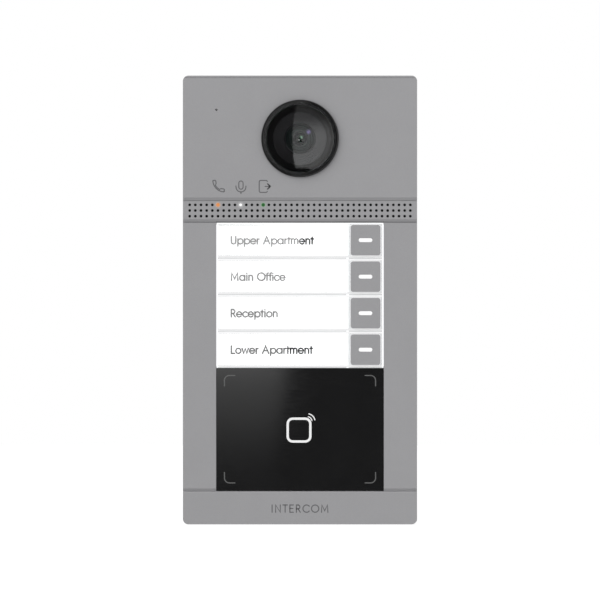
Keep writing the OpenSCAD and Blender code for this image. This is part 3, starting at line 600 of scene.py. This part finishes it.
def add_stroke(bm, points, width, low_d, high_d):
    """A flat line with round ends along (x, z) points, as a closed solid from low_d to high_d.
    A closed line joins up."""
    points = [Vector(p) for p in points]
    closed = (points[0] - points[-1]).length < 1e-7
    if closed:
        points.pop()
    count = len(points)
    half = width / 2
    rings, ways = [], []
    for i, p in enumerate(points):
        before = points[i - 1] if i or closed else None
        after = points[(i + 1) % count] if i + 1 < count or closed else None
        pairs = ((before, p), (p, after))
        sides = [(b - a).normalized() for a, b in pairs if a is not None and b is not None]
        way = sum(sides, Vector((0, 0))).normalized()
        across = Vector((-way.y, way.x))
        reach = half / max(0.5, across.dot(Vector((-sides[0].y, sides[0].x))))
        rings.append((p, across, reach))
        ways.append(way)
    if not closed:
        turns = [math.radians(a) for a in (75, 50, 25)]
        (first, first_across, _), (last, last_across, _) = rings[0], rings[-1]
        start = [(first - ways[0] * half * math.sin(t), first_across, half * math.cos(t)) for t in turns]
        end = [(last + ways[-1] * half * math.sin(t), last_across, half * math.cos(t)) for t in turns]
        rings = start + rings + end[::-1]
    corners = []
    for p, across, reach in rings:
        left, right = p + across * reach, p - across * reach
        corners.append([bm.verts.new((q.x, -d, q.y)) for q, d in
                        ((left, high_d), (right, high_d), (right, low_d), (left, low_d))])
    pairs = list(zip(corners, corners[1:])) + ([(corners[-1], corners[0])] if closed else [])
    for a, b in pairs:
        for k in range(4):
            bm.faces.new((a[k], a[(k + 1) % 4], b[(k + 1) % 4], b[k]))
    if not closed:
        bm.faces.new(corners[0])
        bm.faces.new(reversed(corners[-1]))


INK_SUNK, INK_PROUD = 0.01 * MM, 0.03 * MM


def printed_mark(name, strokes, width, on_d, look):
    """Ink lines on a face at depth on_d."""
    bm = bmesh.new()
    for line in strokes:
        add_stroke(bm, line, width, on_d - INK_SUNK, on_d + INK_PROUD)
    new_piece(name, bm, look)


def scaled(strokes, x, z, size):
    """Strokes drawn round the origin in unit lengths, placed at (x, z)."""
    return [[(x + px * size, z + pz * size) for px, pz in line] for line in strokes]


def box_outline(w, h, r, x, z):
    """A closed rectangle with round corners, round (x, z)."""
    line = []
    for k, (sx, sz) in enumerate(((1, 1), (-1, 1), (-1, -1), (1, -1))):
        line += arc_points(x + sx * (w / 2 - r), z + sz * (h / 2 - r), r, 90 * k, 90 * k + 90, 6)
    return line + line[:1]


TURN_STEPS = 96


def turned_piece(name, profile, look):
    """A solid of revolution about the lens's axis, from a closed outline of (radius, depth)."""
    bm = bmesh.new()
    rings = []
    for i in range(TURN_STEPS):
        a = 2 * math.pi * i / TURN_STEPS
        spots = [(LENS_CENTRE.x + r * math.cos(a), -d, LENS_CENTRE.z + r * math.sin(a)) for r, d in profile]
        rings.append([bm.verts.new(spot) for spot in spots])
    for a, b in zip(rings, rings[1:] + rings[:1]):
        for k in range(len(profile)):
            n = (k + 1) % len(profile)
            bm.faces.new((a[k], a[n], b[n], b[k]))
    bmesh.ops.remove_doubles(bm, verts=bm.verts, dist=1e-8)
    new_piece(name, bm, look, smooth=True)


# ---------------------------------------------------------------- stroke font

# Letters on a grid where a capital is 1 high: each is (advance, [lines])
X_H = 0.68
ROUND = X_H / 2


def bowl(x=ROUND):
    return arc_points(x, ROUND, ROUND, 0, 360, 20)


LETTERS = {
    " ": (0.42, []),
    "A": (0.98, [[(0.04, 0), (0.45, 1), (0.86, 0)], [(0.2, 0.38), (0.7, 0.38)]]),
    "L": (0.6, [[(0.1, 1), (0.1, 0), (0.52, 0)]]),
    "M": (1.12, [[(0.1, 0), (0.16, 1), (0.54, 0.2), (0.92, 1), (0.98, 0)]]),
    "R": (0.72, [[(0.1, 0), (0.1, 1), (0.3, 1)] + arc_points(0.3, 0.73, 0.27, 90, -90, 10) + [(0.1, 0.46)],
                 [(0.34, 0.46), (0.62, 0)]]),
    "U": (0.84, [[(0.1, 1)] + arc_points(0.4, 0.3, 0.3, 180, 360, 12) + [(0.7, 1)]]),
    "a": (0.86, [bowl(0.4), [(0.4 + ROUND, X_H), (0.4 + ROUND, 0)]]),
    "c": (0.68, [arc_points(0.38, ROUND, ROUND, 45, 315, 16)]),
    "e": (0.8, [[(0.06, ROUND), (0.72, ROUND)] + arc_points(0.39, ROUND, ROUND, 10, 320, 18)]),
    "f": (0.38, [arc_points(0.32, 0.86, 0.14, 70, 180, 6) + [(0.18, 0)], [(0.02, X_H), (0.34, X_H)]]),
    "i": (0.26, [[(0.12, X_H), (0.12, 0)], [(0.12, 0.93), (0.12, 0.96)]]),
    "m": (1.06, [[(0.1, X_H), (0.1, 0)], arc_points(0.31, 0.47, 0.21, 180, 0, 10) + [(0.52, 0)],
                 arc_points(0.73, 0.47, 0.21, 180, 0, 10) + [(0.94, 0)]]),
    "n": (0.7, [[(0.1, X_H), (0.1, 0)], arc_points(0.34, 0.44, 0.24, 180, 0, 12) + [(0.58, 0)]]),
    "o": (0.82, [bowl(0.4)]),
    "p": (0.84, [bowl(0.44), [(0.1, X_H), (0.1, -0.3)]]),
    "r": (0.4, [[(0.1, X_H), (0.1, 0)], arc_points(0.31, 0.44, 0.21, 180, 85, 7)]),
    "t": (0.4, [[(0.18, 0.92), (0.18, 0)], [(0.02, X_H), (0.36, X_H)]]),
    "w": (0.96, [[(0.04, X_H), (0.25, 0.0), (0.46, X_H), (0.67, 0.0), (0.88, X_H)]]),
    "C": (0.96, [arc_points(0.55, 0.5, 0.5, 42, 318, 18)]),
    "E": (0.68, [[(0.58, 1), (0.1, 1), (0.1, 0), (0.58, 0)], [(0.1, 0.52), (0.52, 0.52)]]),
    "I": (0.3, [[(0.14, 1), (0.14, 0)]]),
    "N": (0.86, [[(0.1, 0), (0.1, 1), (0.74, 0), (0.74, 1)]]),
    "O": (1.1, [arc_points(0.55, 0.5, 0.5, 0, 360, 28)]),
    "T": (0.66, [[(0.33, 1), (0.33, 0)], [(0.02, 1), (0.64, 1)]]),
}


def lettering(text, x, z, cap, spacing=0.04):
    """Lines for a text whose baseline starts at (x, z), and its length."""
    lines, at = [], 0.0
    for letter in text:
        advance, drawn = LETTERS[letter]
        lines += [[(x + (at + px) * cap, z + pz * cap) for px, pz in line] for line in drawn]
        at += advance + spacing
    return lines, (at - spacing) * cap


# ---------------------------------------------------------------- printed marks

ICON_Z = FACE_HIGH.z - 56.3 * MM
ICON_LINE = 0.52 * MM


def handset_icon():
    """An outline telephone handset that leans to the right: two rounded ends joined by a curved grip."""
    outer = arc_points(1.05, 1.05, 1.98, 184, 266, 12)
    lower = [(1.02, -0.86)] + arc_points(0.84, -0.62, 0.2, -50, 70, 5)
    upper = arc_points(-0.62, 0.84, 0.2, 20, 140, 5) + [(-0.86, 1.02)]
    grip = arc_points(0.86, 0.86, 1.5, 244, 206, 6)
    grip = [(0.5, -0.36), (0.2, -0.5)] + grip + [(-0.5, 0.2), (-0.36, 0.5)]
    line = outer + lower + grip + upper
    return [line + line[:1]]


def microphone_icon():
    """A capsule in its cradle, with a short foot."""
    capsule = arc_points(0, 0.52, 0.34, 0, 180, 10) + arc_points(0, -0.1, 0.34, 180, 360, 10)
    cradle = [(-0.8, 0.06)] + arc_points(0, -0.1, 0.78, 185, 355, 16) + [(0.8, 0.06)]
    return [capsule + capsule[:1], cradle, [(0, -0.88), (0, -1.14)]]


def exit_icon():
    """A door frame, open on the right, with an arrow that leaves it."""
    frame_line = arc_points(0.24, 0.74, 0.24, 20, 90, 5) + arc_points(-0.62, 0.74, 0.24, 90, 180, 5)
    frame_line += arc_points(-0.62, -0.74, 0.24, 180, 270, 5) + arc_points(0.24, -0.74, 0.24, 270, 340, 5)
    head = [[(x - 0.43, 0.43), (x, 0), (x - 0.43, -0.43)] for x in (0.98, 0.9)]
    return [frame_line, [(0.1, 0), (0.9, 0)]] + head


ICONS = (
    ("call_icon", handset_icon(), -41.5 * MM, 3.0 * MM),
    ("talk_icon", microphone_icon(), -30.0 * MM, 3.2 * MM),
    ("unlock_icon", exit_icon(), -18.05 * MM, 3.1 * MM),
)
for name, strokes, x, size in ICONS:
    printed_mark(name, scaled(strokes, x, ICON_Z, size), ICON_LINE, BLOCK_DEPTH, "ink_grey")

NAME_TEXTS = ("Upper Apartment", "Main Office", "Reception", "Lower Apartment")
NAME_X, NAME_CAP, NAME_LINE = -35.3 * MM, 3.8 * MM, 0.72 * MM
for row, text in zip(ROWS, NAME_TEXTS):
    lines, _ = lettering(text, NAME_X, middle(f"call_button_{row}").z - NAME_CAP / 2, NAME_CAP)
    printed_mark(f"name_text_{row}", lines, NAME_LINE, CARD_DEPTH, "ink_text")

WORD, WORD_Z, WORD_CAP, WORD_SPACING, WORD_LINE = "INTERCOM", -106 * MM, 3.7 * MM, 0.22, 0.55 * MM
_, word_length = lettering(WORD, 0, 0, WORD_CAP, WORD_SPACING)
word, _ = lettering(WORD, -word_length / 2, WORD_Z - WORD_CAP / 2, WORD_CAP, WORD_SPACING)
printed_mark("generic_word", word, WORD_LINE, depth("bottom_trim"), "ink_grey")

READER_LOW, READER_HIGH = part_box("reader_window")
READER_LINE = 0.55 * MM


def reader_brackets():
    """Four corner brackets that frame the spot for the card."""
    side, top, foot, arm, turn = 4.1 * MM, 3.6 * MM, 4.0 * MM, 5.3 * MM, 2.5 * MM
    quarter = arc_points(0, 0, turn, 0, 90, 6)
    lines = []
    for sx in (-1, 1):
        for sz in (-1, 1):
            x = sx * (READER_HIGH.x - side)
            z = READER_HIGH.z - top if sz > 0 else READER_LOW.z + foot
            bend = [(x - sx * (turn - px), z - sz * (turn - pz)) for px, pz in quarter]
            lines.append([(x, z - sz * arm)] + bend + [(x - sx * arm, z)])
    return lines


CARD_X, CARD_Z = -0.5 * MM, -66.1 * MM
card_outline = box_outline(11.5 * MM, 11.6 * MM, 2.6 * MM, CARD_X, CARD_Z)
signals = [arc_points(CARD_X + 4.2 * MM, CARD_Z + 4.4 * MM, r * MM, 78, 12, 8) for r in (2.4, 3.9)]
printed_mark("reader_brackets", reader_brackets(), READER_LINE, PANE_DEPTH, "ink_bracket")
printed_mark("reader_card_icon", [card_outline], 1.2 * MM, PANE_DEPTH, "ink_white")
printed_mark("reader_signal_icon", signals, READER_LINE, PANE_DEPTH, "ink_white")

# ---------------------------------------------------------------- camera details

LENS_RIM_D = depth("lens_barrel")
RING_BACK = LENS_RIM_D - 2.3 * MM
LENS_SEAT = LENS_RIM_D - 2.2 * MM


def lens_rings():
    """Two black retaining rings that step down inside the lens."""
    for name, look, inner, inner_drop, outer, outer_drop in (
        ("lens_inner_ring", "ring_gloss", 3.45, 1.32, 4.2, 1.16),
        ("lens_outer_ring", "shroud_black", 5.6, 1.6, 6.1, 1.85),
    ):
        profile = [(inner * MM, RING_BACK), (outer * MM, RING_BACK),
                   (outer * MM, LENS_RIM_D - outer_drop * MM), (inner * MM, LENS_RIM_D - inner_drop * MM)]
        turned_piece(name, profile, look)


def cap_profile(radius, curve, edge_d, thickness, steps=10):
    """A lens's outline: a dome of that curvature over a flat back."""
    drop = curve - math.sqrt(curve ** 2 - radius ** 2)
    half = math.asin(radius / curve)
    angles = [half * i / steps for i in range(steps, -1, -1)]
    front = [(curve * math.sin(a), edge_d + drop - curve + curve * math.cos(a)) for a in angles]
    return [(0.0, edge_d - thickness), (radius, edge_d - thickness)] + front


def inner_lenses():
    """The smaller lenses that show through the front one."""
    turned_piece("second_lens", cap_profile(3.4 * MM, 4.4 * MM, LENS_SEAT, 0.6 * MM), "lens_glass")
    turned_piece("third_lens", cap_profile(2.0 * MM, 3.0 * MM, LENS_SEAT - 1.4 * MM, 0.5 * MM), "inner_glass")


def wire_contacts():
    """Eight sprung gold contacts inside the network jack."""
    low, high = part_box("network_jack")
    contacts, pitch, wire = 8, 1.02 * MM, 0.22 * MM
    bend = ((2.2 * MM, 1.5 * MM), (4.6 * MM, 9 * MM), (2.6 * MM, 12.5 * MM))  # from the jack's front, and up
    section = ((-wire, -wire), (wire, -wire), (wire, wire), (-wire, wire))
    bm = bmesh.new()
    for i in range(contacts):
        x = (low.x + high.x) / 2 + (i - (contacts - 1) / 2) * pitch
        rings = []
        for back, up in bend:
            rings.append([bm.verts.new((x + a, low.y + back + b, low.z + up)) for a, b in section])
        for a, b in zip(rings, rings[1:]):
            for k in range(4):
                bm.faces.new((a[k], a[(k + 1) % 4], b[(k + 1) % 4], b[k]))
        bm.faces.new(rings[0])
        bm.faces.new(reversed(rings[-1]))
    new_piece("jack_contacts", bm, "gold")


lens_rings()
inner_lenses()
wire_contacts()

# ---------------------------------------------------------------- studio

CAMERA_Y = -3.031
FIELD = 304.8 * MM  # how wide the picture is at the front of the casing
SENSOR = 36.0
CARD_REACH = 2.0  # how far the cards stand in front of the panel
FILL_LIGHT = 0.62
KEY_LIGHT = 1.62
KEY_FROM = Vector((-0.5, -0.7, 0.3))


def stage_object(name, bm, material, hidden):
    """A piece of the studio, which the kinds of ray in hidden don't meet."""
    mesh = bpy.data.meshes.new(name)
    bm.to_mesh(mesh)
    bm.free()
    mesh.materials.append(material)
    obj = bpy.data.objects.new(name, mesh)
    bpy.context.scene.collection.objects.link(obj)
    for ray in hidden:
        setattr(obj, "visible_" + ray, False)


def light_sheet(name, grid, levels):
    """A sheet of light from rows of points, with a strength at each point. Only gloss sees it."""
    bm = bmesh.new()
    layer = bm.verts.layers.float.new("level")
    rows = []
    for points, values in zip(grid, levels):
        row = []
        for point, value in zip(points, values):
            vert = bm.verts.new(point)
            vert[layer] = value
            row.append(vert)
        rows.append(row)
    for a, b in zip(rows, rows[1:]):
        for k in range(len(a) - 1):
            bm.faces.new((a[k], a[k + 1], b[k + 1], b[k]))
    s = Shader(name)
    strength = s.node("Attribute", attribute_name="level").outputs["Fac"]
    material = s.finish(s.node("Emission", {"Strength": strength}).outputs[0])
    stage_object(name, bm, material, ("camera", "diffuse", "transmission", "shadow", "volume_scatter"))


def smooth_step(value, start, end):
    t = min(1.0, max(0.0, (value - start) / (end - start)))
    return t * t * (3 - 2 * t)


WALL_R = 2.4
WALL_EDGE = -14.7  # azimuth where the bright window begins, from the camera's direction
WALL_FOOT = -57.0  # elevation of its sill


def wall_level(azimuth, elevation):
    """Brightness of the room as the glossy parts see it: dark on the left, a tall window on the right."""
    if azimuth < WALL_EDGE or elevation < WALL_FOOT:
        return 0.0
    high = 1 - 0.72 * smooth_step(elevation, 8, 46)
    wide = 1 - 0.12 * smooth_step(azimuth, 40, 80)
    return 0.8 * high * wide


def studio_wall():
    """A dome of light in front of the panel, dark to the left of and below its window's edges."""
    edge = 0.02
    azimuths = sorted({*range(-90, 91, 3), WALL_EDGE - edge, WALL_EDGE})
    elevations = sorted({*range(-81, 82, 3), WALL_FOOT - edge, WALL_FOOT})
    grid, levels = [], []
    for el in elevations:
        e = math.radians(el)
        points, values = [], []
        for az in azimuths:
            a = math.radians(az)
            way = (math.sin(a) * math.cos(e), -math.cos(a) * math.cos(e), math.sin(e))
            points.append([WALL_R * part for part in way])
            values.append(wall_level(az, el))
        grid.append(points)
        levels.append(values)
    light_sheet("studio_wall", grid, levels)


def mirrored(x, z):
    """Where a ray from the camera that meets the panel's front at (x, z) reaches the cards' distance."""
    grow = 1 + CARD_REACH / (-CAMERA_Y - PANE_DEPTH)
    return (x * grow, -PANE_DEPTH - CARD_REACH, z * grow)


def dark_card():
    """A black card behind the camera, which keeps the flat windows dark."""
    reach = 62 * MM
    grid = [[mirrored(x, z) for x in (-reach, reach)] for z in (FACE_LOW.z, FACE_HIGH.z)]
    light_sheet("dark_card", grid, [[0.0, 0.0]] * 2)


def slanted_light():
    """The slanting sheet of light on the left half of the name windows and the reader."""
    grid, levels = [], []
    steps = 24
    low, high = READER_LOW.z - 2 * MM, 44 * MM
    reader_span = 60 * MM
    rows_foot, rows_span = -37 * MM, 67 * MM
    for i in range(steps + 1):
        z = low + (high - low) * i / steps
        edge_x = -0.8 * MM + (z - 21.7 * MM) * 0.114
        fade = min(1.0, max(0.0, (z - READER_LOW.z) / reader_span)) ** 1.6
        rise = max(0.0, (z - rows_foot) / rows_span) ** 0.65
        sides = [mirrored(x, z) for x in (-60 * MM, edge_x)]
        grid.append([(x, y + 5 * MM, up) for x, y, up in sides])
        levels.append([1.15 * fade + 2.2 * rise] * 2)
    light_sheet("slanted_light", grid, levels)


def pale_floor():
    """The floor that the panel stands on: a wide pale disc that is as bright as the backdrop."""
    s = Shader("floor")
    grain = s.noise(4 * MM, 3.0)
    links = {"Base Color": s.blend(grain, (0.2, 0.2, 0.2), (0.23, 0.23, 0.23))}
    surface = s.principled(links, Roughness=0.9, Specular_IOR_Level=0.1,
                           Emission_Color=rgb(1, 1, 1), Emission_Strength=0.88)
    bm = bmesh.new()
    bmesh.ops.create_circle(bm, cap_ends=True, segments=96, radius=1.6)
    bmesh.ops.translate(bm, verts=bm.verts, vec=(0, 0, FACE_LOW.z - 0.2 * MM))
    stage_object("floor", bm, s.finish(surface), ("diffuse", "glossy"))


def backdrop():
    """A white room: the camera and gloss see it white, and it lights the matt surfaces from all sides."""
    world = bpy.data.worlds.new("white_room")
    bpy.context.scene.world = world
    world.use_nodes = True
    world.cycles.sampling_method = "NONE"
    tree = world.node_tree
    background = tree.nodes["Background"]
    background.inputs["Color"].default_value = rgb(1, 1, 1)
    path = tree.nodes.new("ShaderNodeLightPath")
    level = tree.nodes.new("ShaderNodeMath")
    level.operation = "MULTIPLY_ADD"
    level.inputs[1].default_value = FILL_LIGHT - 1
    level.inputs[2].default_value = 1
    tree.links.new(path.outputs["Is Diffuse Ray"], level.inputs[0])
    tree.links.new(level.outputs[0], background.inputs["Strength"])


def key_light():
    """A soft light from the upper left, which shades the slopes of the casing and the buttons."""
    light = bpy.data.lights.new("key_light", "SUN")
    light.energy = KEY_LIGHT
    light.angle = math.radians(70)
    light.specular_factor = 0.25
    obj = bpy.data.objects.new("key_light", light)
    obj.rotation_mode = "QUATERNION"
    obj.rotation_quaternion = KEY_FROM.to_track_quat("Z", "Y")
    bpy.context.scene.collection.objects.link(obj)


def camera():
    """The camera straight in front of the panel."""
    lens = bpy.data.cameras.new("camera")
    lens.sensor_width = SENSOR
    lens.lens = SENSOR * (-CAMERA_Y - BLOCK_DEPTH) / FIELD
    lens.clip_end = 20
    obj = bpy.data.objects.new("camera", lens)
    obj.location = (0, CAMERA_Y, 0)
    obj.rotation_euler = (math.pi / 2, 0, 0)
    bpy.context.scene.collection.objects.link(obj)
    bpy.context.scene.camera = obj


studio_wall()
dark_card()
slanted_light()
pale_floor()
backdrop()
key_light()
camera()
bpy.context.scene.view_settings.view_transform = "Standard"
